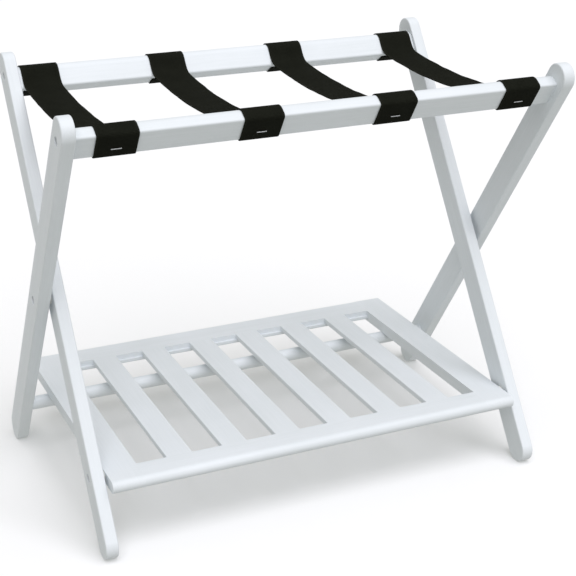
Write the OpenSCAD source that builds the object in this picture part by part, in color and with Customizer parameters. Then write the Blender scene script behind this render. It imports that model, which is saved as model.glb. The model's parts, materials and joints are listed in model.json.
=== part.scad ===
// Folding luggage rack: two crossed frames on a pivot, four webbing straps and a slatted shelf.
// Millimetres, +Z up, +X along the top rails, +Y to the rear. Origin on the floor, mid width and mid depth.

/* [Frame] */
// width over the outer legs
rack_w = 660; // [480:5:800]
// distance from the pivot up to the centre of a leg's round top
leg_up = 313.5; // [240:0.5:400]
// distance from the pivot down to the centre of a leg's round foot
leg_down = 316.3; // [240:0.1:400]
// angle of each leg from upright when open
lean = 34.1; // [26:0.1:40]
// width of a leg seen from the side
leg_w = 37; // [28:0.5:50]
// thickness of the legs and the shelf frame boards
board_t = 16.5; // [12:0.5:24]
// gap between the crossing legs
side_gap = 5.7; // [2:0.1:8]
// gap between the shelf and the inner legs
shelf_gap = 3.6; // [1:0.1:8]

/* [Top rails] */
// height of a rail's section
rail_h = 35.2; // [28:0.1:50]
// depth of a rail's section
rail_d = 22; // [16:0.5:34]
// how far a rail sits back from the leg's outer edge
rail_recess = 10.6; // [4:0.1:14]
// drop of the rail's top below the leg end's centre
rail_drop = 3.7; // [0:0.1:12]
// radius of the inner top edge that the straps pass over
rail_inner_r = 12; // [4:0.5:14]
// radius of the rail's other edges
rail_edge_r = 2.5; // [1:0.1:5]

/* [Lower dowel] */
// diameter of the round stretcher
dowel_d = 18.5; // [14:0.5:26]
// offset of the stretcher from the leg's centre line, towards the front
dowel_offset = 3.9; // [0:0.1:6]
// depth of its sockets in the legs
dowel_socket = 8; // [4:0.5:12]

/* [Straps] */
// width of the webbing
strap_w = 50; // [30:1:60]
// thickness of the webbing
strap_t = 1.5; // [1:0.1:3]
// gap between an outer strap and the inner leg beside it
strap_end_gap = 3.5; // [1:0.1:40]
// sag of the free span below its ends
strap_sag = 9; // [2:0.5:30]
// width of a staple's crown
staple_w = 12.5; // [8:0.5:16]

/* [Shelf] */
// distance from the main pivot down the inner leg to the shelf pivot
shelf_pivot_reach = 233.6; // [180:0.1:300]
// distance from the shelf pivot forward to the nose
shelf_front = 39.9; // [30:0.1:60]
// distance from the shelf pivot back to the rear edge
shelf_back = 361.1; // [280:0.1:440]
// width of the side boards and cross rails
shelf_board_w = 42; // [30:0.5:60]
// width of a slat
slat_w = 35; // [20:0.5:50]
// thickness of a slat
slat_t = 7.5; // [5:0.5:10]
// thickness of the rear cross rail
rear_rail_t = 12.5; // [11:0.5:20]
// how far a slat laps onto each cross rail
slat_lap = 4; // [2:0.5:12]

/* [Hardware] */
// diameter of the pivot bolts and shelf pivot screws
pivot_d = 6; // [5:0.5:8]
// diameter of the rail screws
screw_d = 5; // [4:0.5:6]
// diameter of the counterbores
counterbore_d = 11; // [9:0.5:14]
// diameter of the screw heads
head_d = 10.2; // [8:0.1:13]
// diameter of the wooden pins beside the rail screws
pin_d = 6; // [5:0.5:8]

/* [Output] */

/* [Hidden] */
$fn = 96;
run_gap = 0.05;       // radial clearance of a shaft that turns or slips in its hole
part_gap = 0.3;       // clearance between parts that move past each other
overrun = 1;          // how far a cutting shape passes the face it cuts
counterbore_depth = 5;
head_t = 3.2;
hex_af = 4;
hex_depth = 2;
insert_wall = 1.45;
insert_len = 12;
spacer_d = 16;
slat_count = 6;       // one node each, so this stays fixed
shelf_spacer_d = 14;
screw_bite = 40;      // length of a rail screw inside the rail
shelf_bite = 30;      // length of a shelf pivot screw inside the side board
pin_bite = 14;
pin_socket = 9;
pin_drop = 20;        // distance from a rail screw down to its wooden pin
screw_drop = 9.9;      // distance from the rail's top down to its screw
staple_t = 0.9;
staple_wire = 1.2;
staple_depth = 8;
staple_rise = 14;     // height of a staple above the rail's lower edge
strap_bend = 11;      // length over which the webbing turns from the rail into the free span

outer_x = rack_w / 2;
outer_in = outer_x - board_t;
inner_x = outer_in - side_gap;
inner_in = inner_x - board_t;
shelf_x = inner_in - shelf_gap;
leg_extent = leg_w / 2 + max(leg_up, leg_down) * sin(lean);
pivot_z = leg_w / 2 + leg_down * cos(lean);
// the shelf reaches further back than the feet, so the pivot sits ahead of the mid depth
pivot_y = -max(0, (shelf_back - shelf_pivot_reach * sin(lean) - leg_extent) / 2);

rail_top = leg_up - rail_drop;
rail_out = -(leg_w / 2 - rail_recess);
rail_in = rail_out + rail_d;
rail_low = rail_top - rail_h;
screw_along = rail_top - screw_drop;
pin_along = screw_along - pin_drop;
pin_y = (rail_out + rail_in) / 2;

shelf_pivot_y = pivot_y - shelf_pivot_reach * sin(lean);
shelf_pivot_z = pivot_z - shelf_pivot_reach * cos(lean);
shelf_low = shelf_pivot_z - board_t / 2;
shelf_high = shelf_pivot_z + board_t / 2;
shelf_y0 = shelf_pivot_y - shelf_front;
shelf_y1 = shelf_pivot_y + shelf_back;
side_in = shelf_x - shelf_board_w;
slat_pitch = (2 * side_in + slat_w) / (slat_count + 1);
rail_y0 = shelf_y0 + shelf_board_w;
rail_y1 = shelf_y1 - shelf_board_w;

dowel_z = shelf_low - part_gap - dowel_d / 2;
dowel_along = -(pivot_z - dowel_z - dowel_offset * sin(lean)) / cos(lean);

insert_d = pivot_d + 2 * (run_gap + insert_wall);
strap_pitch = (2 * (inner_in - strap_end_gap) - strap_w) / 3;
strap_off = part_gap + strap_t / 2;
staple_off = part_gap + strap_t + part_gap;
staple_along = rail_low + staple_rise;

// a point of the front frame, in the YZ plane through the pivot
function turned(p) = [p[0] * cos(lean) - p[1] * sin(lean), pivot_z + p[0] * sin(lean) + p[1] * cos(lean)];
function polar(a) = [cos(a), sin(a)];
function bend(c, r, a0, a1, steps) = [for (i = [0:steps]) c + r * polar(a0 + (a1 - a0) * i / steps)];
function quad(a, b, c, s) = (1 - s) * (1 - s) * a + 2 * s * (1 - s) * b + s * s * c;
function curve(a, b, c, steps) = [for (i = [0:steps]) quad(a, b, c, i / steps)];
function reversed(l) = [for (i = [len(l) - 1:-1:0]) l[i]];
function unit(v) = v / norm(v);
function across(l, i) = let (t = unit(l[min(i + 1, len(l) - 1)] - l[max(i - 1, 0)])) [-t[1], t[0]];
function shifted(l, d) = [for (i = [0:len(l) - 1]) l[i] + d * across(l, i)];

// the webbing's middle line over the front rail, then half of the free span
leave = turned([rail_in + strap_off, rail_low + 2]);
span_y = leave[0] + strap_bend;
span_z = leave[1] - strap_bend * 2 * strap_sag / abs(leave[0]);
strap_wrap = [for (p = concat(
  [[rail_in - rail_inner_r / 2, rail_low - strap_off]],
  bend([rail_out + rail_edge_r, rail_low + rail_edge_r], rail_edge_r + strap_off, 270, 180, 5),
  bend([rail_out + rail_edge_r, rail_top - rail_edge_r], rail_edge_r + strap_off, 180, 90, 5),
  bend([rail_in - rail_inner_r, rail_top - rail_inner_r], rail_inner_r + strap_off, 90, 0, 9)
)) turned(p)];
strap_turn = curve(turned([rail_in + strap_off, rail_low + 2 + strap_bend]), leave, [span_y, span_z], 6);
strap_span = [for (i = [1:8]) let (s = 1 - i / 8) [span_y * s, span_z - strap_sag * (1 - s * s)]];
strap_half = concat(strap_wrap, strap_turn, strap_span);
strap_rest = [for (i = [len(strap_half) - 2:-1:0]) [-strap_half[i][0], strap_half[i][1]]];
strap_line = concat(strap_half, strap_rest);

leg_outer_left();
leg_outer_right();
top_rail_front();
lower_dowel();
front_rail_screws();
front_rail_pins();
strap_1();
strap_2();
strap_3();
strap_4();
front_staples();
leg_inner_left();
leg_inner_right();
top_rail_rear();
rear_rail_screws();
rear_rail_pins();
rear_staples();
pivot_bolt_left();
pivot_bolt_right();
pivot_inserts();
pivot_spacers();
shelf_side_left();
shelf_side_right();
shelf_front_rail();
shelf_rear_rail();
shelf_slat_1();
shelf_slat_2();
shelf_slat_3();
shelf_slat_4();
shelf_slat_5();
shelf_slat_6();
shelf_pivot_screws();
shelf_spacers();

// the leg frame of the front rail: local Z up the leg, local +Y towards the rear frame
module at_pivot() { translate([0, pivot_y, pivot_z]) children(); }
module front_frame() { at_pivot() rotate([lean, 0, 0]) children(); }
// the rear frame is the front frame turned round
module rear_frame() { at_pivot() mirror([0, 1, 0]) rotate([lean, 0, 0]) children(); }
module both_sides() { children(); mirror([1, 0, 0]) children(); }

// a round bar along X from x0 to x1, at a point of the local YZ plane
module bar(d, x0, x1, y = 0, z = 0) { translate([x0, y, z]) rotate([0, 90, 0]) cylinder(d = d, h = x1 - x0); }

module leg_blank(x0, x1) {
  translate([x0, -leg_w / 2, -leg_down]) cube([x1 - x0, leg_w, leg_up + leg_down]);
  bar(leg_w, x0, x1, 0, leg_up);
  bar(leg_w, x0, x1, 0, -leg_down);
}

// a screw from the leg's outer face x towards the middle of the rack, on the +X side
module screw(d, x_face, gap, x_tip, y = 0, z = 0) {
  seat = x_face - counterbore_depth + gap;
  bar(d, x_tip, seat, y, z);
  difference() {
    bar(head_d, seat, seat + head_t, y, z);
    translate([seat + head_t - hex_depth, y, z]) rotate([0, 90, 0])
      cylinder(d = hex_af / cos(30), h = hex_depth + overrun, $fn = 6);
  }
}

module counterbore(x_face, y = 0, z = 0) {
  bar(counterbore_d, x_face - counterbore_depth, x_face + overrun, y, z);
}

module rail_joint_cuts(x_face, x_in) {
  counterbore(x_face, 0, screw_along);
  bar(screw_d + 2 * run_gap, x_in - overrun, x_face, 0, screw_along);
  bar(pin_d + 2 * run_gap, x_in - overrun, x_in + pin_socket, pin_y, pin_along);
}

module leg_outer() {
  difference() {
    leg_blank(outer_in, outer_x);
    rail_joint_cuts(outer_x, outer_in);
    counterbore(outer_x);
    bar(pivot_d + 2 * run_gap, outer_in - overrun, outer_x);
    bar(dowel_d + 2 * run_gap, outer_in - overrun, outer_in + dowel_socket, -dowel_offset, dowel_along);
  }
}

// the inner leg in the turned frame, so its local +Y is towards the front
module leg_inner() {
  difference() {
    leg_blank(inner_in, inner_x);
    rail_joint_cuts(inner_x, inner_in);
    bar(insert_d + 2 * run_gap, inner_x - insert_len, inner_x + overrun);
    counterbore(inner_x, 0, -shelf_pivot_reach);
    bar(pivot_d + 2 * run_gap, inner_in - overrun, inner_x, 0, -shelf_pivot_reach);
  }
}

module leg_outer_left() { color("white") mirror([1, 0, 0]) front_frame() leg_outer(); }
module leg_outer_right() { color("whitesmoke") front_frame() leg_outer(); }
module leg_inner_left() { color("gainsboro") mirror([1, 0, 0]) rear_frame() leg_inner(); }
module leg_inner_right() { color("lightgray") rear_frame() leg_inner(); }

// rail section in local YZ: a large radius on the inner top edge, a small one on the others
module rail_section() {
  r = rail_edge_r;
  big = rail_inner_r;
  translate([rail_out, rail_low + r]) square([rail_d, rail_h - r - big]);
  translate([rail_out + r, rail_low]) square([rail_d - 2 * r, r]);
  translate([rail_out, rail_top - big]) square([rail_d - big, big - r]);
  translate([rail_out + r, rail_top - r]) square([rail_d - big - r, r]);
  translate([rail_out + r, rail_low + r]) circle(r = r);
  translate([rail_in - r, rail_low + r]) circle(r = r);
  translate([rail_out + r, rail_top - r]) circle(r = r);
  translate([rail_in - big, rail_top - big]) intersection() {
    circle(r = big);
    square(big);
  }
}

module rail(x_end) {
  difference() {
    translate([-x_end, 0, 0]) rotate([90, 0, 90]) linear_extrude(2 * x_end) rail_section();
    both_sides() {
      bar(screw_d + 2 * run_gap, x_end - screw_bite, x_end + overrun, 0, screw_along);
      bar(pin_d + 2 * run_gap, x_end - pin_bite, x_end + overrun, pin_y, pin_along);
    }
    for (i = [1:4]) staple_legs(i, run_gap);
  }
}

module rail_screws(x_face, x_end) {
  both_sides() screw(screw_d, x_face, 0, x_end - screw_bite, 0, screw_along);
}

module rail_pins(x_end) {
  both_sides() bar(pin_d, x_end - pin_bite, x_end + pin_socket, pin_y, pin_along);
}

module top_rail_front() { color("white") front_frame() rail(outer_in); }
module top_rail_rear() { color("gainsboro") rear_frame() rail(inner_in); }
module front_rail_screws() { color("silver") front_frame() rail_screws(outer_x, outer_in); }
module rear_rail_screws() { color("silver") rear_frame() rail_screws(inner_x, inner_in); }
module front_rail_pins() { color("tan") front_frame() rail_pins(outer_in); }
module rear_rail_pins() { color("tan") rear_frame() rail_pins(inner_in); }

module lower_dowel() {
  color("white") front_frame()
    bar(dowel_d, -outer_in - dowel_socket, outer_in + dowel_socket, -dowel_offset, dowel_along);
}

function strap_x(i) = (i - 2.5) * strap_pitch;

// the two legs of staple i, grown by gap on each side
module staple_legs(i, gap) {
  for (s = [-1, 1])
    translate([strap_x(i) + s * (staple_w - staple_wire) / 2, rail_out - staple_off, staple_along])
      translate([-staple_wire / 2 - gap, -gap, -staple_t / 2 - gap])
        cube([staple_wire + 2 * gap, staple_depth + staple_off + gap, staple_t + 2 * gap]);
}

module staple(i) {
  translate([strap_x(i) - staple_w / 2, rail_out - staple_off - staple_t, staple_along - staple_t / 2])
    cube([staple_w, staple_t, staple_t]);
  staple_legs(i, 0);
}

module front_staples() { color("silver") front_frame() for (i = [1:4]) staple(i); }
module rear_staples() { color("silver") rear_frame() for (i = [1:4]) staple(i); }

module strap(i) {
  color([0.12, 0.12, 0.11]) difference() {
    translate([strap_x(i) - strap_w / 2, pivot_y, 0]) rotate([90, 0, 90]) linear_extrude(strap_w)
      polygon(concat(shifted(strap_line, strap_t / 2), reversed(shifted(strap_line, -strap_t / 2))));
    front_frame() staple_legs(i, part_gap);
    rear_frame() staple_legs(i, part_gap);
  }
}
module strap_1() { strap(1); }
module strap_2() { strap(2); }
module strap_3() { strap(3); }
module strap_4() { strap(4); }

// the bolt turns with the inner leg; the outer leg runs on its shank
module pivot_bolt() { color("silver") at_pivot() screw(pivot_d, outer_x, part_gap, inner_x - insert_len); }
module pivot_bolt_left() { mirror([1, 0, 0]) pivot_bolt(); }
module pivot_bolt_right() { pivot_bolt(); }

module pivot_inserts() {
  color("goldenrod") both_sides() at_pivot() difference() {
    bar(insert_d, inner_x - insert_len, inner_x);
    bar(pivot_d + 2 * run_gap, inner_x - insert_len - overrun, inner_x + overrun);
  }
}

module spacer(d, x0, x1) {
  difference() {
    bar(d, x0, x1);
    bar(pivot_d + 2 * part_gap, x0 - overrun, x1 + overrun);
  }
}

module pivot_spacers() {
  color("ivory") both_sides() at_pivot() spacer(spacer_d, inner_x, outer_in - part_gap);
}

module at_shelf_pivot() { translate([0, shelf_pivot_y, shelf_pivot_z]) children(); }

module shelf_pivot_screws() {
  color("silver") both_sides() at_shelf_pivot() screw(pivot_d, inner_x, part_gap, shelf_x - shelf_bite);
}

module shelf_spacers() {
  color("ivory") both_sides() at_shelf_pivot() spacer(shelf_spacer_d, shelf_x, inner_in - part_gap);
}

// a board with a round nose along its front edge
module nosed_board(x0, x1, y1) {
  nose_y = shelf_y0 + board_t / 2;
  bar(board_t, x0, x1, nose_y, shelf_pivot_z);
  translate([x0, nose_y, shelf_low]) cube([x1 - x0, y1 - nose_y, board_t]);
}

module shelf_side() {
  difference() {
    nosed_board(side_in, shelf_x, shelf_y1);
    at_shelf_pivot() bar(pivot_d + 2 * run_gap, shelf_x - shelf_bite, shelf_x + overrun);
  }
}

module shelf_side_left() { color("white") mirror([1, 0, 0]) shelf_side(); }
module shelf_side_right() { color("whitesmoke") shelf_side(); }

module shelf_front_rail() {
  color("white") difference() {
    nosed_board(-side_in, side_in, rail_y0);
    translate([-side_in - overrun, rail_y0 - slat_lap, shelf_high - slat_t])
      cube([2 * (side_in + overrun), slat_lap + overrun, slat_t + overrun]);
  }
}

module shelf_rear_rail() {
  color("white") difference() {
    translate([-side_in, rail_y1 - slat_lap, shelf_high - rear_rail_t])
      cube([2 * side_in, shelf_board_w + slat_lap, rear_rail_t]);
    translate([-side_in - overrun, rail_y1 - slat_lap - overrun, shelf_high - slat_t])
      cube([2 * (side_in + overrun), slat_lap + overrun, slat_t + overrun]);
  }
}

module slat(i) {
  x0 = (i - (slat_count + 1) / 2) * slat_pitch - slat_w / 2;
  color("white") translate([x0, rail_y0 - slat_lap, shelf_high - slat_t])
    cube([slat_w, rail_y1 - rail_y0 + slat_lap, slat_t]);
}
module shelf_slat_1() { slat(1); }
module shelf_slat_2() { slat(2); }
module shelf_slat_3() { slat(3); }
module shelf_slat_4() { slat(4); }
module shelf_slat_5() { slat(5); }
module shelf_slat_6() { slat(6); }
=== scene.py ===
import bpy, bmesh, json, math
from mathutils import Vector, Matrix, noise


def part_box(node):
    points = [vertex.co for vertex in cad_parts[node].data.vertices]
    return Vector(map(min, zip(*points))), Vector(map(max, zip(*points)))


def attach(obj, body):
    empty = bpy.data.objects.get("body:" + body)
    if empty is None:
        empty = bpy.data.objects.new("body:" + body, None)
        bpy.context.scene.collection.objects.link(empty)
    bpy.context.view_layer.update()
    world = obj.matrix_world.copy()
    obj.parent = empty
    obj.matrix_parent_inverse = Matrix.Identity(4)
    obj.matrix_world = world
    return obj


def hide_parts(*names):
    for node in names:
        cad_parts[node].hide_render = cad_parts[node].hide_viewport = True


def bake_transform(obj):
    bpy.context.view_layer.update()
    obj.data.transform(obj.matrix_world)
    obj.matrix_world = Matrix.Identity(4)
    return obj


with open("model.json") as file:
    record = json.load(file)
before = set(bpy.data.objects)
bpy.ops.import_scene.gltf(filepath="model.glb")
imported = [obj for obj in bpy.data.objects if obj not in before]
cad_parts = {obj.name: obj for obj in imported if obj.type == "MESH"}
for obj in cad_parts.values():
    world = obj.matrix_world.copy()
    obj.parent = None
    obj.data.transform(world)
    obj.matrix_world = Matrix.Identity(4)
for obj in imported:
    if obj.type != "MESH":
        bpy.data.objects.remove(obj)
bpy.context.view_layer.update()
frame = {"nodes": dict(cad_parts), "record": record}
mm = 0.001
print("frame loaded")


# shader maths written as expressions

def setSocket(socket, value):
    if isinstance(value, Sock):
        socket.id_data.links.new(value.out, socket)
    elif isinstance(value, tuple) and socket.type == "RGBA":
        socket.default_value = (*value, 1.0)
    else:
        socket.default_value = value


class Sock:
    def __init__(self, out):
        self.out = out

    def math(self, operation, *values):
        return addNode(self.out.id_data, "Math", {"operation": operation}, dict(enumerate(values)))

    def __add__(self, other): return self.math("ADD", self, other)
    __radd__ = __add__
    def __sub__(self, other): return self.math("SUBTRACT", self, other)
    def __rsub__(self, other): return self.math("SUBTRACT", other, self)
    def __mul__(self, other): return self.math("MULTIPLY", self, other)
    __rmul__ = __mul__
    def __truediv__(self, other): return self.math("DIVIDE", self, other)
    def __abs__(self): return self.math("ABSOLUTE", self)
    def __mod__(self, other): return self.math("FLOORED_MODULO", self, other)
    def __gt__(self, other): return self.math("GREATER_THAN", self, other)
    def sin(self): return self.math("SINE", self)
    def floor(self): return self.math("FLOOR", self)
    def orMore(self, other): return self.math("MAXIMUM", self, other)
    def orLess(self, other): return self.math("MINIMUM", self, other)


def addNode(tree, kind, settings=None, inputs=None, out=0):
    node = tree.nodes.new("ShaderNode" + kind)
    for key, value in (settings or {}).items():
        setattr(node, key, value)
    for key, value in (inputs or {}).items():
        setSocket(node.inputs[key], value)
    return Sock(node.outputs[out])


# a material with its shader, and short ways to reach its nodes
class Finish:
    def __init__(self, name, **fixed):
        self.material = bpy.data.materials.new(name)
        self.material.use_nodes = True
        self.tree = self.material.node_tree
        self.shader = self.tree.nodes["Principled BSDF"]
        for key, value in fixed.items():
            setSocket(self.shader.inputs[key.replace("_", " ")], value)

    def node(self, kind, settings=None, inputs=None, out=0):
        return addNode(self.tree, kind, settings, inputs, out)

    def place(self, turn=(0, 0, 0), stretch=(1, 1, 1), source="Object"):
        where = self.tree.nodes.new("ShaderNodeTexCoord").outputs[source]
        turned = self.node("Mapping", {"vector_type": "TEXTURE"}, {"Vector": Sock(where), "Rotation": turn})
        return self.node("Mapping", None, {"Vector": turned, "Scale": stretch})

    def noise(self, where, scale, detail=2.0, rough=0.5):
        inputs = {"Vector": where, "Scale": scale, "Detail": detail, "Roughness": rough}
        return self.node("TexNoise", None, inputs)

    def blend(self, factor, dark, light):
        return self.node("Mix", {"data_type": "RGBA"}, {0: factor, 6: dark, 7: light}, 2)

    def bump(self, height, depth, strength=1.0, under=None):
        inputs = {"Height": height, "Distance": depth, "Strength": strength}
        if under:
            inputs["Normal"] = under
        return self.node("Bump", None, inputs)

    def give(self, **values):
        for key, value in values.items():
            setSocket(self.shader.inputs[key.replace("_", " ")], value)
        return self.material


# painted wood: thin satin paint over a fine straight grain
paint = {
    "colour": (0.80, 0.835, 0.87),
    "thin": (0.735, 0.775, 0.80),
    "grainScale": 420.0,
    "grainStretch": 0.035,
    "grainDepth": 0.05 * mm,
    "peelScale": 900.0,
    "peelDepth": 0.012 * mm,
}


def paintedWood(name, turn):
    f = Finish(name, IOR=1.46)
    # the grain runs along local Z, which turn lays along the piece
    long = f.place(turn, (1, 1, paint["grainStretch"]))
    even = f.place()
    grain = f.noise(long, paint["grainScale"], 3.0, 0.6)
    cloud = f.noise(even, 9.0, 3.0, 0.55)
    peel = f.noise(even, paint["peelScale"], 1.0)
    streak = f.noise(long, 60.0, 2.0, 0.5)
    tone = (grain * 0.35 + cloud * 0.4 + streak * 0.25 - 0.36) * 3.2
    colour = f.blend(tone.orMore(0.0).orLess(1.0), paint["thin"], paint["colour"])
    low = f.bump(grain, paint["grainDepth"], 0.6)
    return f.give(Base_Color=colour, Roughness=0.40 + 0.16 * cloud + 0.05 * peel,
                  Normal=f.bump(peel, paint["peelDepth"], 0.5, low))


# black webbing: a plain weave over the strap's own UV map, in metres
weave = {
    "warp": 1.25 * mm,
    "weft": 1.45 * mm,
    "yarn": (0.0055, 0.0060, 0.0042),
    # the pale yarn colour comes partly from random mottle and partly from painted highlight on the raised
    # yarn crowns
    "paleMottleAndCrownHighlight": (0.0250, 0.0265, 0.0195),
    # the gap colour is painted shade, darkening the low places between the yarns
    "gap": (0.0015, 0.0015, 0.0010),
    "depth": 0.28 * mm,
    "width": 50 * mm,
    "selvedge": 2.4 * mm,
}


def webbing(name):
    f = Finish(name, Specular_IOR_Level=0.04, IOR=1.3)
    uv = Sock(f.tree.nodes.new("ShaderNodeUVMap").outputs[0])
    split = f.tree.nodes.new("ShaderNodeSeparateXYZ")
    setSocket(split.inputs[0], uv)
    across, along = Sock(split.outputs[0]), Sock(split.outputs[1])
    wobble = f.noise(uv, 160.0, 2.0) - 0.5
    u = (across + wobble * (0.35 * mm)) / weave["warp"]
    v = (along + wobble * (0.5 * mm)) / weave["weft"]
    # each yarn is a rounded ridge that dips under its neighbour, one column out of step with the next
    columnPhase = (u.floor() % 2.0) * math.pi
    rowPhase = (v.floor() % 2.0) * math.pi
    warp = abs((u * math.pi).sin()) * (0.5 + 0.5 * (v * math.pi + columnPhase).sin())
    weft = abs((v * math.pi).sin()) * (0.5 - 0.5 * (u * math.pi + rowPhase).sin())
    height = warp.orMore(weft * 0.85)
    edge = abs(across - weave["width"] / 2) > weave["width"] / 2 - weave["selvedge"]
    height = height * (1.0 - 0.45 * edge) + 0.35 * edge
    mottle = f.noise(uv, 420.0, 3.0, 0.65)
    cloud = f.noise(uv, 45.0, 2.0)
    # raised yarn crowns are painted lighter (painted highlight), mixed with random mottle and cloud
    shade = (height * 0.75 + mottle * 0.7 + cloud * 0.3 - 0.55).orMore(0.0).orLess(1.0)
    colour = f.blend(shade, weave["yarn"], weave["paleMottleAndCrownHighlight"])
    # painted shade: the low parts of the weave are darkened towards the gap colour
    colour = f.blend((height * 2.4).orLess(1.0), weave["gap"], colour)
    fuzz = f.bump(mottle, 0.1 * mm, 0.5)
    return f.give(Base_Color=colour, Roughness=0.74 + 0.2 * mottle,
                  Normal=f.bump(height, weave["depth"], 0.9, fuzz))


def metal(name, colour, rough, scale, turn=(0, 0, 0), stretch=(1, 1, 1)):
    f = Finish(name, Metallic=1.0)
    where = f.place(turn, stretch)
    fine = f.noise(where, scale, 3.0, 0.6)
    dull = f.noise(f.place(), 260.0, 2.0)
    tint = f.blend(dull, tuple(c * 0.82 for c in colour), colour)
    return f.give(Base_Color=tint, Roughness=rough + 0.16 * (fine - 0.5) + 0.14 * (dull - 0.5),
                  Normal=f.bump(fine, 0.02 * mm, 0.4))


def plainSolid(name, dark, light, rough, scale, depth, stretch=(1, 1, 1)):
    f = Finish(name)
    body = f.noise(f.place((0, 0, 0), stretch), scale, 3.0, 0.6)
    return f.give(Base_Color=f.blend(body, dark, light), Roughness=rough + 0.12 * (body - 0.5),
                  Normal=f.bump(body, depth, 0.5))


lean = math.radians(34.1)
outerPaint = paintedWood("paintOuterLegs", (lean, 0, 0))
innerPaint = paintedWood("paintInnerLegs", (-lean, 0, 0))
crossPaint = paintedWood("paintAcross", (0, math.pi / 2, 0))
depthPaint = paintedWood("paintFrontToBack", (math.pi / 2, 0, 0))
strapCloth = webbing("blackWebbing")
zinc = metal("zincSteel", (0.56, 0.57, 0.58), 0.34, 1800.0)
stapleWire = metal("stapleWire", (0.50, 0.51, 0.51), 0.42, 2400.0, (0, 0, 0), (0.05, 1, 1))
brass = metal("insertBrass", (0.72, 0.55, 0.26), 0.35, 1500.0)
nylon = plainSolid("nylonWasher", (0.74, 0.74, 0.70), (0.84, 0.84, 0.80), 0.45, 700.0, 0.02 * mm)
bareWood = plainSolid("bareWoodPin", (0.50, 0.34, 0.19), (0.70, 0.52, 0.33), 0.6, 500.0, 0.05 * mm,
                      (0.05, 1, 1))
print("materials made")


# the rack's own frame of reference, from the CAD
joints = {joint["name"]: joint for joint in frame["record"]["behaviour"]["joints"]}
pivot = Vector(joints["frame_fold"]["pos_m"])
shelfPivot = Vector(joints["shelf_lift"]["pos_m"])


def finishPiece(name, mesh, body, material, nodes=(), sharpAngle=35):
    # rounded parts are smooth, and broad flat faces stay flat beside them
    bm = bmesh.new()
    bm.from_mesh(mesh)
    bmesh.ops.remove_doubles(bm, verts=bm.verts, dist=0.002 * mm)
    bmesh.ops.dissolve_degenerate(bm, dist=0.002 * mm, edges=bm.edges)
    for face in bm.faces:
        face.smooth = True
    broad = {f for f in bm.faces if f.calc_area() / max(e.calc_length() for e in f.edges) > 3 * mm}
    for edge in bm.edges:
        turn = math.degrees(edge.calc_face_angle(0.0)) if edge.is_manifold else 0.0
        edge.smooth = turn < (4 if broad.intersection(edge.link_faces) else sharpAngle)
    bm.to_mesh(mesh)
    bm.free()
    mesh.name = name
    piece = bpy.data.objects.new(name, mesh)
    bpy.context.collection.objects.link(piece)
    mesh.materials.clear()
    mesh.materials.append(material)
    if body:
        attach(piece, body)
    if nodes:
        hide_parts(*nodes)
    return piece


def toMesh(bm, name="piece"):
    bmesh.ops.recalc_face_normals(bm, faces=bm.faces)
    mesh = bpy.data.meshes.new(name)
    bm.to_mesh(mesh)
    bm.free()
    return mesh


def roundEdges(bm, edges, radius, segments=3):
    bmesh.ops.bevel(bm, geom=list(edges), offset=radius, affect="EDGES", segments=segments,
                    profile=0.5, material=-1, clamp_overlap=True)


def placed(bm, matrix):
    bmesh.ops.transform(bm, matrix=matrix, verts=bm.verts)


def boxOf(low, high):
    bm = bmesh.new()
    size = Vector(high) - Vector(low)
    middle = (Vector(high) + Vector(low)) / 2
    bmesh.ops.create_cube(bm, size=1.0)
    placed(bm, Matrix.Translation(middle) @ Matrix.Diagonal((*size, 1.0)))
    return bm


def alongX(length, radius, sides):
    # a round bar centred on the origin, lying along X
    bm = bmesh.new()
    bmesh.ops.create_cone(bm, cap_ends=True, segments=sides, radius1=radius, radius2=radius, depth=length)
    placed(bm, Matrix.Rotation(math.pi / 2, 4, "Y"))
    return bm


def turned(profile, sides=48):
    # a closed round shape from (radius, height) steps, spun about Z
    bm = bmesh.new()
    points = [bm.verts.new((radius, 0, height)) for radius, height in profile]
    edges = [bm.edges.new(pair) for pair in zip(points, points[1:])]
    bmesh.ops.spin(bm, geom=points + edges, axis=(0, 0, 1), cent=(0, 0, 0), steps=sides, angle=2 * math.pi)
    bmesh.ops.remove_doubles(bm, verts=bm.verts, dist=0.001 * mm)
    return bm


def cut(mesh, cutters):
    # takes each cutter's shape out of the mesh
    target = bpy.data.objects.new("target", mesh)
    bpy.context.collection.objects.link(target)
    tools = []
    for i, tool in enumerate(cutters):
        other = bpy.data.objects.new("cutter%d" % i, tool)
        bpy.context.collection.objects.link(other)
        modifier = target.modifiers.new("cut%d" % i, "BOOLEAN")
        modifier.operation, modifier.object, modifier.solver = "DIFFERENCE", other, "EXACT"
        tools.append(other)
    graph = bpy.context.evaluated_depsgraph_get()
    result = bpy.data.meshes.new_from_object(target.evaluated_get(graph))
    for item in [target] + tools:
        bpy.data.objects.remove(item, do_unlink=True)
    return result


# legs: flat boards with fully round ends, eased edges and drilled counterbores
legSize = {
    "width": 37 * mm,
    "up": 313.5 * mm,
    "down": 316.3 * mm,
    "ease": 1.8 * mm,
    "screwAlong": 299.9 * mm,
    "shelfAlong": -233.6 * mm,
    "boreRadius": 5.5 * mm,
    "boreDepth": 5.0 * mm,
    "boreEase": 0.45 * mm,
}
outerFrame = Matrix.Translation(pivot) @ Matrix.Rotation(lean, 4, "X")
innerFrame = Matrix.Translation(pivot) @ Matrix.Diagonal((1, -1, 1, 1)) @ Matrix.Rotation(lean, 4, "X")


def counterbore(face, outward, along):
    # a blind round hole with a small lead-in at its mouth
    g = legSize
    r, deep, lead = g["boreRadius"], g["boreDepth"], g["boreEase"]
    bm = turned([(0, 0), (r, 0), (r, deep - lead), (r + 2 * lead, deep + lead), (0, deep + lead)])
    turn = Matrix.Rotation(outward * math.pi / 2, 4, "Y")
    placed(bm, Matrix.Translation((face - outward * g["boreDepth"], 0, along)) @ turn)
    return toMesh(bm)


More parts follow.
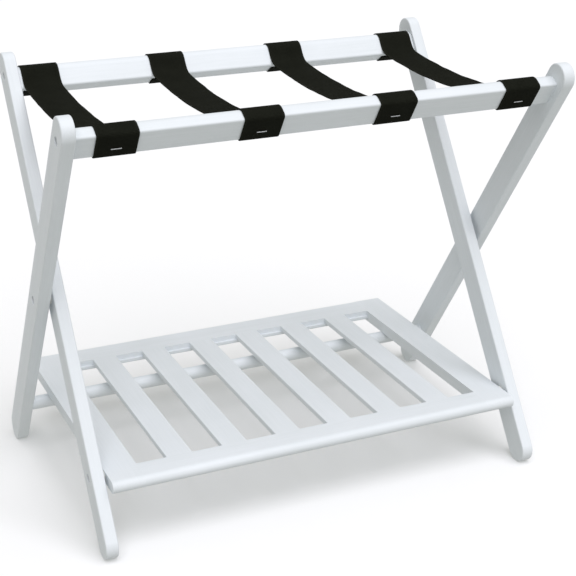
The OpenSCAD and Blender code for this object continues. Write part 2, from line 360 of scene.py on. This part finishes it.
def leg(name, node, body, toFrame, outward, bores, material):
    g = legSize
    low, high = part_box(node)
    bm = bmesh.new()
    bmesh.ops.create_circle(bm, cap_ends=True, segments=96, radius=g["width"] / 2)
    placed(bm, Matrix.Rotation(math.pi / 2, 4, "Y"))
    for v in bm.verts:
        v.co.z += g["up"] if v.co.z > -1e-6 else -g["down"]
        v.co.x = low[0]
    ext = bmesh.ops.extrude_face_region(bm, geom=list(bm.faces))
    far = [v for v in ext["geom"] if isinstance(v, bmesh.types.BMVert)]
    bmesh.ops.translate(bm, vec=(high[0] - low[0], 0, 0), verts=far)
    rims = [e for e in bm.edges if abs(e.verts[0].co.x - e.verts[1].co.x) < 1e-6]
    roundEdges(bm, rims, g["ease"], 4)
    face = high[0] if outward > 0 else low[0]
    mesh = cut(toMesh(bm), [counterbore(face, outward, along) for along in bores])
    mesh.transform(toFrame)
    if toFrame.determinant() < 0:
        mesh.flip_normals()
    return finishPiece(name, mesh, body, material, [node])


for side, outward in (("left", -1), ("right", 1)):
    leg("outerLeg." + side, "leg_outer_" + side, "outer_frame", outerFrame, outward,
        (0.0, legSize["screwAlong"]), outerPaint)
    leg("innerLeg." + side, "leg_inner_" + side, "inner_frame", innerFrame, outward,
        (legSize["screwAlong"], legSize["shelfAlong"]), innerPaint)
print("legs made")


# top rails: eased bars whose inner top edge has a large radius for the straps
railSize = {
    "front": -7.9 * mm,
    "depth": 22 * mm,
    "top": 309.8 * mm,
    "height": 35.2 * mm,
    "ease": 2.5 * mm,
    "strapRadius": 12 * mm,
}


def topRail(name, node, body, toFrame, material):
    g = railSize
    low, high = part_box(node)
    back, bottom = g["front"] + g["depth"], g["top"] - g["height"]
    bm = boxOf((low[0], g["front"], bottom), (high[0], back, g["top"]))
    long = [e for e in bm.edges if abs(e.verts[0].co.x - e.verts[1].co.x) > 0.1]
    inner = [e for e in long if e.verts[0].co.y > back - 1e-4 and e.verts[0].co.z > g["top"] - 1e-4]
    roundEdges(bm, inner, g["strapRadius"], 12)
    long = [e for e in bm.edges if abs(e.verts[0].co.x - e.verts[1].co.x) > 0.1]
    corners = [e for e in long if abs(e.calc_face_angle(0.0)) > 1.2]
    roundEdges(bm, corners, g["ease"], 5)
    mesh = toMesh(bm)
    mesh.transform(toFrame)
    if toFrame.determinant() < 0:
        mesh.flip_normals()
    return finishPiece(name, mesh, body, material, [node])


topRail("topRail.front", "top_rail_front", "outer_frame", outerFrame, crossPaint)
topRail("topRail.rear", "top_rail_rear", "inner_frame", innerFrame, crossPaint)


# the round stretcher under the shelf
low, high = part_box("lower_dowel")
bar = alongX(high[0] - low[0], (high[2] - low[2]) / 2, 64)
placed(bar, Matrix.Translation((0, (low[1] + high[1]) / 2, (low[2] + high[2]) / 2)))
finishPiece("lowerStretcher", toMesh(bar), "outer_frame", crossPaint, ["lower_dowel"])


# shelf: two side boards and two cross rails carry six slats
shelfSize = {
    "ease": 1.4 * mm,
    "slatEase": 1.1 * mm,
    "slatThick": 7.5 * mm,
    "lap": 4 * mm,
    "noseSegments": 12,
}


def shelfBoard(name, node, material, seams, nosed=False, step=0):
    g = shelfSize
    low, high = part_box(node)
    bm = boxOf(low, high)
    if nosed:
        nose = [e for e in bm.edges if all(v.co.y < low[1] + 1e-5 for v in e.verts)
                and abs(e.verts[0].co.x - e.verts[1].co.x) > 1e-3]
        roundEdges(bm, nose, (high[2] - low[2]) / 2 - 0.02 * mm, g["noseSegments"])
    # edges are eased except in the glued joints, where the paint runs across
    glued = [(low[0], high[0])[i] for i in seams]
    sharp = [e for e in bm.edges if e.calc_face_angle(0.0) > 1.0
             and not any(all(abs(v.co.x - x) < 1e-5 for v in e.verts) for x in glued)]
    roundEdges(bm, sharp, g["ease"], 3)
    mesh = toMesh(bm)
    if step:
        # the ledge that the slats lie on, at the back edge for 1 or the front edge for -1
        ledge = (high[1] - g["lap"]) if step > 0 else (low[1] + g["lap"])
        waste = sorted((ledge, ledge + step * 2 * g["lap"]))
        ends = ((low[0] - mm, waste[0], high[2] - g["slatThick"]), (high[0] + mm, waste[1], high[2] + mm))
        mesh = cut(mesh, [toMesh(boxOf(*ends))])
    return finishPiece(name, mesh, "shelf", material, [node])


for side, inner in (("left", 1), ("right", 0)):
    shelfBoard("shelfSide." + side, "shelf_side_" + side, depthPaint, [inner], nosed=True)
shelfBoard("shelfRail.front", "shelf_front_rail", crossPaint, [0, 1], nosed=True, step=1)
shelfBoard("shelfRail.rear", "shelf_rear_rail", crossPaint, [0, 1], step=-1)
for i in range(1, 7):
    low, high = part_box("shelf_slat_%d" % i)
    slat = boxOf(low, high)
    roundEdges(slat, [e for e in slat.edges if abs(e.verts[0].co.y - e.verts[1].co.y) > 0.1],
               shelfSize["slatEase"], 3)
    finishPiece("shelfSlat.%d" % i, toMesh(slat), "shelf", depthPaint,
                ["shelf_slat_%d" % i])
print("shelf made")


# straps: the webbing wraps each rail and hangs between them
strapSize = {
    "width": 50 * mm,
    "thick": 1.5 * mm,
    "clear": 0.3 * mm,
    "sag": 9 * mm,
    "bend": 11 * mm,
    "tuck": 5.5 * mm,
    "step": 2.2 * mm,
    "across": 18,
    "ripple": 0.75 * mm,
    "edgeLift": 0.5 * mm,
    "edgeDrift": 0.35 * mm,
    "freeHalf": 105 * mm,
    "freeFade": 30 * mm,
}


def arcPoints(centre, radius, fromDeg, toDeg, steps):
    turn = [math.radians(fromDeg + (toDeg - fromDeg) * i / steps) for i in range(steps + 1)]
    return [(centre[0] + radius * math.cos(a), centre[1] + radius * math.sin(a)) for a in turn]


def strapPath():
    # the webbing's middle line in the Y-Z plane, from under the front rail to under the rear rail
    g, r = strapSize, railSize
    off = g["clear"] + g["thick"] / 2
    front, back = r["front"], r["front"] + r["depth"]
    top, bottom = r["top"], r["top"] - r["height"]
    ease, big = r["ease"], r["strapRadius"]
    local = [(back - g["tuck"], bottom - off)]
    local += arcPoints((front + ease, bottom + ease), ease + off, 270, 180, 6)
    local += arcPoints((front + ease, top - ease), ease + off, 180, 90, 6)
    local += arcPoints((back - big, top - big), big + off, 90, 0, 12)
    world = [outerFrame @ Vector((0, y, z)) for y, z in local]
    high = outerFrame @ Vector((0, back + off, bottom + 2 * mm + g["bend"]))
    corner = outerFrame @ Vector((0, back + off, bottom + 2 * mm))
    reach = corner.y - pivot.y
    away = corner + Vector((0, g["bend"], g["bend"] * 2 * g["sag"] / reach))
    half = away.y - pivot.y
    for i in range(11):
        s = i / 10
        world.append((1 - s) ** 2 * high + 2 * s * (1 - s) * corner + s * s * away)
    for i in range(1, 25):
        s = 1 - i / 24
        world.append(Vector((0, pivot.y + half * s, away.z - g["sag"] * (1 - s * s))))
    return world + [Vector((0, 2 * pivot.y - p.y, p.z)) for p in reversed(world[:-1])]


def evenly(points, step):
    # the same line with evenly spaced points, and its length
    lengths = [(b - a).length for a, b in zip(points, points[1:])]
    total = sum(lengths)
    count = round(total / step)
    out, i, done = [], 0, 0.0
    for k in range(count + 1):
        want = total * k / count
        while i < len(lengths) - 1 and done + lengths[i] < want:
            done += lengths[i]
            i += 1
        out.append(points[i].lerp(points[i + 1], (want - done) / lengths[i]))
    return out, total


strapLine, strapLength = evenly(strapPath(), strapSize["step"])


def strap(index, node):
    g = strapSize
    low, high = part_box(node)
    middle = (low[0] + high[0]) / 2
    rows = len(strapLine) - 1
    bm = bmesh.new()
    uvLayer = bm.loops.layers.uv.new("webbing")
    bmesh.ops.create_grid(bm, x_segments=g["across"], y_segments=rows, size=0.5)
    for face in bm.faces:
        for loop in face.loops:
            x, y = loop.vert.co.x + 0.5, loop.vert.co.y + 0.5
            loop[uvLayer].uv = (x * g["width"], y * strapLength + index)
    for v in bm.verts:
        row = min(round((v.co.y + 0.5) * rows), rows)
        here = strapLine[row]
        ahead = strapLine[min(row + 1, rows)] - strapLine[max(row - 1, 0)]
        normal = Vector((0, -ahead.z, ahead.y)).normalized()
        x = v.co.x * g["width"]
        ripple = noise.noise(Vector((x * 60 + index * 7, here.y * 45, here.z * 45)))
        free = min(1.0, max(0.0, (g["freeHalf"] - abs(here.y - pivot.y)) / g["freeFade"]))
        edge = (abs(v.co.x) * 2) ** 6
        # slack cloth lifts a little at its edges in the free span
        rise = free * (g["ripple"] * ripple + g["edgeLift"] * edge)
        wander = noise.noise(Vector((index * 3.1, here.y * 30, here.z * 30)))
        drift = g["edgeDrift"] * wander * edge * free
        v.co = Vector((middle + x + drift, here.y, here.z)) + normal * rise
    mesh = toMesh(bm)
    # the outer side of the webbing faces up in the middle of the span
    span = [f for f in mesh.polygons if abs(f.center.y - pivot.y) < 10 * mm]
    if span[0].normal.z < 0:
        mesh.flip_normals()
    piece = finishPiece("strap.%d" % index, mesh, None, strapCloth, [node], 50)
    wall = piece.modifiers.new("clothThickness", "SOLIDIFY")
    wall.thickness, wall.offset = g["thick"], 0.0
    rim = piece.modifiers.new("selvedge", "BEVEL")
    rim.width, rim.segments, rim.angle_limit = 0.6 * mm, 3, math.radians(60)
    bpy.context.view_layer.objects.active = piece
    for modifier in ("clothThickness", "selvedge"):
        bpy.ops.object.modifier_apply(modifier=modifier)
    return piece


straps = [strap(i, "strap_%d" % i) for i in range(1, 5)]
inner, bottom = railSize["front"] + railSize["depth"], railSize["top"] - railSize["height"]
for piece in straps:
    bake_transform(piece)
print("straps made, each cut %.0f mm long" % (strapLength / mm))


# staples: flat wire crowns bedded in the webbing
stapleSize = {
    "crown": 12.5 * mm,
    "wire": 0.9 * mm,
    "wide": 1.2 * mm,
    "along": 288.6 * mm,
    "leg": 7 * mm,
    "ease": 0.3 * mm,
    "legEase": 0.2 * mm,
}


def staples(name, node, body, toFrame, pitch):
    g = stapleSize
    whole = bmesh.new()
    face = railSize["front"] - strapSize["clear"] * 2 - strapSize["thick"]
    for i in range(4):
        x = (i - 1.5) * pitch
        bm = boxOf((x - g["crown"] / 2, face - g["wire"], g["along"] - g["wide"] / 2),
                   (x + g["crown"] / 2, face, g["along"] + g["wide"] / 2))
        long = [e for e in bm.edges if abs(e.verts[0].co.x - e.verts[1].co.x) > 1e-4]
        roundEdges(bm, long, g["ease"], 3)
        whole.from_mesh(toMesh(bm))
        for side in (-1, 1):
            end = x + side * (g["crown"] - g["wide"]) / 2
            post = boxOf((end - g["wide"] / 2, face - g["wire"] / 2, g["along"] - g["wire"] / 2),
                         (end + g["wide"] / 2, face + g["leg"], g["along"] + g["wire"] / 2))
            inward = [e for e in post.edges if abs(e.verts[0].co.y - e.verts[1].co.y) > 1e-4]
            roundEdges(post, inward, g["legEase"], 2)
            whole.from_mesh(toMesh(post))
    placed(whole, toFrame)
    return finishPiece(name, toMesh(whole), body, stapleWire, [node])


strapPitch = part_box("strap_2")[0][0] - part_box("strap_1")[0][0]
staples("staples.front", "front_staples", "outer_frame", outerFrame, strapPitch)
staples("staples.rear", "rear_staples", "inner_frame", innerFrame, strapPitch)


# socket-head screws and bolts: a chamfered head with a hexagon, on a plain shank
screwSize = {
    "head": 5.1 * mm,
    "height": 3.2 * mm,
    "seat": 5 * mm,
    "hex": 2.0 * mm,
    "hexDepth": 2.0 * mm,
    "ease": 0.5 * mm,
    "railShank": 2.5 * mm,
    "pivotShank": 3 * mm,
    "railBite": 40 * mm,
    "insertBite": 12 * mm,
    "shelfBite": 30 * mm,
    "play": 0.3 * mm,
}


def socketScrew(outward, face, tip, radius, gap):
    # along X, with the head's seat at the bottom of its counterbore
    g = screwSize
    hexRing = g["hex"] / math.cos(math.pi / 6)
    rim, tall, lead = g["head"], g["height"], g["ease"]
    head = toMesh(turned([(0, 0), (rim, 0), (rim, tall - lead), (rim - lead, tall), (0, tall)]))
    socket = bmesh.new()
    bmesh.ops.create_cone(socket, cap_ends=True, segments=6, radius1=hexRing, radius2=hexRing,
                          depth=g["hexDepth"] * 2)
    placed(socket, Matrix.Translation((0, 0, g["height"])))
    flare = bmesh.new()
    bmesh.ops.create_cone(flare, cap_ends=True, segments=48, radius1=g["hex"] * 0.8,
                          radius2=hexRing * 1.15 + 0.6 * mm, depth=1.2 * mm)
    placed(flare, Matrix.Translation((0, 0, g["height"])))
    head = cut(head, [toMesh(socket), toMesh(flare)])
    bm = bmesh.new()
    bm.from_mesh(head)
    length = abs(face - outward * (g["seat"] - gap) - tip)
    shank = bmesh.new()
    bmesh.ops.create_cone(shank, cap_ends=True, segments=32, radius1=radius, radius2=radius, depth=length)
    placed(shank, Matrix.Translation((0, 0, -length / 2)))
    bm.from_mesh(toMesh(shank))
    turn = Matrix.Rotation(outward * math.pi / 2, 4, "Y")
    placed(bm, Matrix.Translation((face - outward * (g["seat"] - gap), 0, 0)) @ turn)
    return bm


def screwPair(name, node, body, where, face, tip, radius, gap=0.0, sides=(-1, 1)):
    whole = bmesh.new()
    for outward in sides:
        bm = socketScrew(outward, outward * face, outward * tip, radius, gap)
        placed(bm, Matrix.Translation(where))
        whole.from_mesh(toMesh(bm))
    return finishPiece(name, toMesh(whole), body, zinc, [node])


outerFace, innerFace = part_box("leg_outer_right")[1][0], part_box("leg_inner_right")[1][0]
frontScrewPlace = outerFrame @ Vector((0, 0, legSize["screwAlong"]))
rearScrewPlace = innerFrame @ Vector((0, 0, legSize["screwAlong"]))
screwPair("railScrews.front", "front_rail_screws", "outer_frame", frontScrewPlace, outerFace,
          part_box("top_rail_front")[1][0] - screwSize["railBite"], screwSize["railShank"])
screwPair("railScrews.rear", "rear_rail_screws", "inner_frame", rearScrewPlace, innerFace,
          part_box("top_rail_rear")[1][0] - screwSize["railBite"], screwSize["railShank"])
for side, outward in (("left", -1), ("right", 1)):
    screwPair("pivotBolt." + side, "pivot_bolt_" + side, "inner_frame", pivot, outerFace,
              innerFace - screwSize["insertBite"], screwSize["pivotShank"], screwSize["play"], (outward,))
screwPair("shelfScrews", "shelf_pivot_screws", "shelf", shelfPivot, innerFace,
          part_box("shelf_side_right")[1][0] - screwSize["shelfBite"], screwSize["pivotShank"],
          screwSize["play"])
print("hardware made")

# parts whose CAD shape is right keep it and take a finish
for node, material in (("pivot_inserts", brass), ("pivot_spacers", nylon), ("shelf_spacers", nylon),
                       ("front_rail_pins", bareWood), ("rear_rail_pins", bareWood)):
    shape = frame["nodes"][node]
    for slot in shape.material_slots:
        slot.material = material


# studio: a pale floor, a soft light from above the front and a white surround
studio = {
    "floor": (0.96, 0.96, 0.96),
    "surround": 0.49,
    "surroundTint": (1.0, 1.01, 0.96),
    "sunPower": 2.3,
    "sunTint": (0.95, 0.94, 1.0),
    "sunSpread": 70,
    "sunFrom": (0.04, -0.50, 0.86),
}
bm = bmesh.new()
bmesh.ops.create_grid(bm, x_segments=1, y_segments=1, size=30.0)
floorMesh = toMesh(bm)
floor = bpy.data.objects.new("studioFloor", floorMesh)
bpy.context.collection.objects.link(floor)
floorFinish = Finish("paleFloor", Roughness=0.9)
speck = floorFinish.noise(floorFinish.place(), 3.0, 2.0)
speckShade = tuple(c * 0.99 for c in studio["floor"])
floorFinish.give(Base_Color=floorFinish.blend(speck, speckShade, studio["floor"]))
floorMesh.materials.append(floorFinish.material)
floor.visible_diffuse = False  # no bounce back up into the rack

# one broad soft light from above the front, and an even white surround
lamp = bpy.data.lights.new("softSun", "SUN")
lamp.energy, lamp.angle = studio["sunPower"], math.radians(studio["sunSpread"])
lamp.color = studio["sunTint"]
sun = bpy.data.objects.new("softSun", lamp)
sun.rotation_euler = Vector(studio["sunFrom"]).to_track_quat("Z", "Y").to_euler()
bpy.context.collection.objects.link(sun)
world = bpy.data.worlds.new("whiteSurround")
world.use_nodes = True
world.node_tree.nodes["Background"].inputs[0].default_value = (*studio["surroundTint"], 1)
world.node_tree.nodes["Background"].inputs[1].default_value = studio["surround"]
bpy.context.scene.world = world
bpy.context.scene.view_settings.view_transform = "Standard"

# the eye's place is given across and ahead of the pivot, and above the floor
view = {"lens": 83.782, "fromPivot": (-681.355, -1555.427, 918.832), "down": 21.707, "around": 24.354}
lens = bpy.data.cameras.new("camera")
lens.sensor_width, lens.lens = 36.0, view["lens"]
camera = bpy.data.objects.new("camera", lens)
camera.location = Vector(view["fromPivot"]) * mm + Vector((0, pivot.y, 0))
camera.rotation_euler = (math.radians(90 - view["down"]), 0, math.radians(-view["around"]))
bpy.context.collection.objects.link(camera)
bpy.context.scene.camera = camera
print("studio made")
